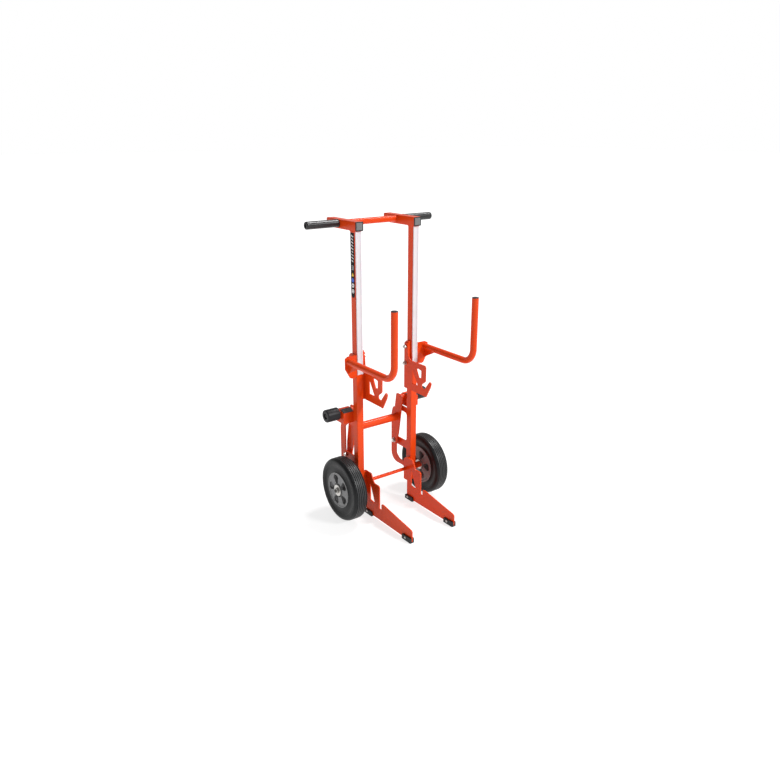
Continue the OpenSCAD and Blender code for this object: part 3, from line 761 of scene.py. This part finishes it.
# Heights of the stitches down each rear bracket, and the web under each arm's flange
stitches = ((150 * mm, 190 * mm), (255 * mm, 300 * mm), (380 * mm, 425 * mm))
web_half = 2.4 * mm
web_foot = 732 * mm
web_head = 766 * mm
gusset_top = 767.2 * mm
tube_weld = 20.4 * mm
cross_low, cross_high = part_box("prop_cross_tube")
cross_y = (cross_low.y + cross_high.y) / 2
cross_z = (cross_low.z + cross_high.z) / 2
for side, word in sides:
    post_low, post_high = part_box("post_" + word)
    tube_low, tube_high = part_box("top_tube_" + word)
    arm_low, arm_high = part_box("arm_" + word)
    flange_low, flange_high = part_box("arm_bracket_" + word)
    rear_low, rear_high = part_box("rear_bracket_" + word)
    post_x = (post_low.x + post_high.x) / 2
    arm_x = (arm_low.x + arm_high.x) / 2
    arm_z = (flange_low.z + flange_high.z) / 2 + 28.5 * mm
    welds = bmesh.new()
    # Post to top tube
    square = [Vector((post_x + u * mm, v * mm, tube_low.z - 0.4 * mm))
              for u, v in rounded_square(17.8, 3.0, 8)]
    around = []
    for i, corner in enumerate(square):
        around += line_path(corner, square[(i + 1) % len(square)])[:-1]
    bead(welds, around, 2.0 * mm, True)
    # Handlebar to both faces of the top tube
    for offset in (-tube_weld, tube_weld):
        round_bead(welds, post_x + offset, grip_y, grip_z, 14.4 * mm, "x", 120, 1.7 * mm)
    # Arm to its flange, and the web beneath it to both
    round_bead(welds, arm_x, flange_low.y - 0.5 * mm, arm_z, 15.6 * mm, "y", 140, 2.2 * mm)
    face = flange_low.y - 0.6 * mm
    for x in (arm_x - web_half, arm_x + web_half):
        straight_bead(welds, (x, face, web_foot), (x, face, web_head), 1.4 * mm)
        straight_bead(welds, (x, -24 * mm, gusset_top), (x, -86 * mm, gusset_top), 1.4 * mm)
    # Rear bracket to the back of the post
    back = post_high.y + 0.4 * mm
    for start, end in stitches:
        for x in (rear_low.x - 0.5 * mm, rear_high.x + 0.5 * mm):
            straight_bead(welds, (x, back, start), (x, back, end), 1.7 * mm)
    # Axle's distance tube to the post
    round_bead(welds, side * 173.5 * mm, axle_y, axle_z, 16.4 * mm, "x", 140, 1.9 * mm)
    new_piece("frame_welds_" + word, welds, powder_coat, "frame", [], sharp=60)
    # Cross tube and stub shaft to the lever
    prop_welds = bmesh.new()
    round_bead(prop_welds, side * 132.6 * mm, cross_y, cross_z, 19.4 * mm, "x", 150, 2.0 * mm)
    round_bead(prop_welds, side * 139.5 * mm, roller_y, roller_z, 17.4 * mm, "x", 150, 1.9 * mm)
    new_piece("prop_welds_" + word, prop_welds, powder_coat, "prop_frame", [], sharp=60)


# ---------- Floor, light and camera ----------
# A plain white acrylic table, lit from below like a light table and running out of sight, under an
# even white surround, with a soft key at the front right and a softbox overhead.

floor_paint, tree, place = new_material("backlit_white_acrylic")
patch = noise(tree, place, 2.0, 2.0)
shade = ramp(tree, patch, "#9F9F9F", "#A4A4A4")
surface(tree, {"Base Color": shade},
        {"Roughness": 0.9, "Specular IOR Level": 0.1, "Emission Color": (1, 1, 1, 1),
         "Emission Strength": 0.76})
floor_mesh = bpy.data.meshes.new("floor")
floor_reach = 60
floor_corners = [(floor_reach * x, floor_reach * y, 0) for x, y in ((-1, -1), (1, -1), (1, 1), (-1, 1))]
floor_mesh.from_pydata(floor_corners, [], [(0, 1, 2, 3)])
floor_mesh.materials.append(floor_paint)
floor = bpy.data.objects.new("floor", floor_mesh)
bpy.context.scene.collection.objects.link(floor)

world = bpy.data.worlds.new("studio")
world.use_nodes = True
tree = world.node_tree
tree.nodes.clear()
seen = add(tree, "ShaderNodeLightPath").outputs["Is Camera Ray"]
way = add(tree, "ShaderNodeTexCoord").outputs["Generated"]
axes = add(tree, "ShaderNodeSeparateXYZ", {"Vector": way})
glow = add(tree, "ShaderNodeMapRange", {"Value": axes.outputs["X"]},
           {"From Min": -0.7, "From Max": 0.6, "To Min": 0.26, "To Max": 0.46})
level = add(tree, "ShaderNodeMix", {"Factor": seen, "A": glow.outputs["Result"]}, {"B": 1.0})
sky = add(tree, "ShaderNodeBackground", {"Strength": level.outputs["Result"]}, {"Color": (1, 1, 1, 1)})
add(tree, "ShaderNodeOutputWorld", {"Surface": sky.outputs["Background"]})
bpy.context.scene.world = world

for name, energy, spread, toward in (("soft_key", 1.95, 10, (0.34, -0.76, 0.5)),
                                     ("overhead_softbox", 2.4, 16, (0.48, -0.02, 0.88))):
    lamp = bpy.data.lights.new(name, "SUN")
    lamp.energy = energy
    lamp.angle = math.radians(spread)
    lamp_object = bpy.data.objects.new(name, lamp)
    lamp_object.rotation_euler = Vector(toward).to_track_quat("Z", "Y").to_euler()
    bpy.context.scene.collection.objects.link(lamp_object)

bpy.context.scene.view_settings.view_transform = "Standard"
bpy.context.scene.view_settings.look = "None"

camera = bpy.data.cameras.new("camera")
camera.sensor_width = 36
camera.lens = 33.59
camera_down = 19.61
camera_turn = -36.13
camera_object = bpy.data.objects.new("camera", camera)
camera_object.location = (-1.88672, -2.61946, 1.74971)
camera_object.rotation_euler = (math.radians(90 - camera_down), 0, math.radians(camera_turn))
bpy.context.scene.collection.objects.link(camera_object)
bpy.context.scene.camera = camera_object
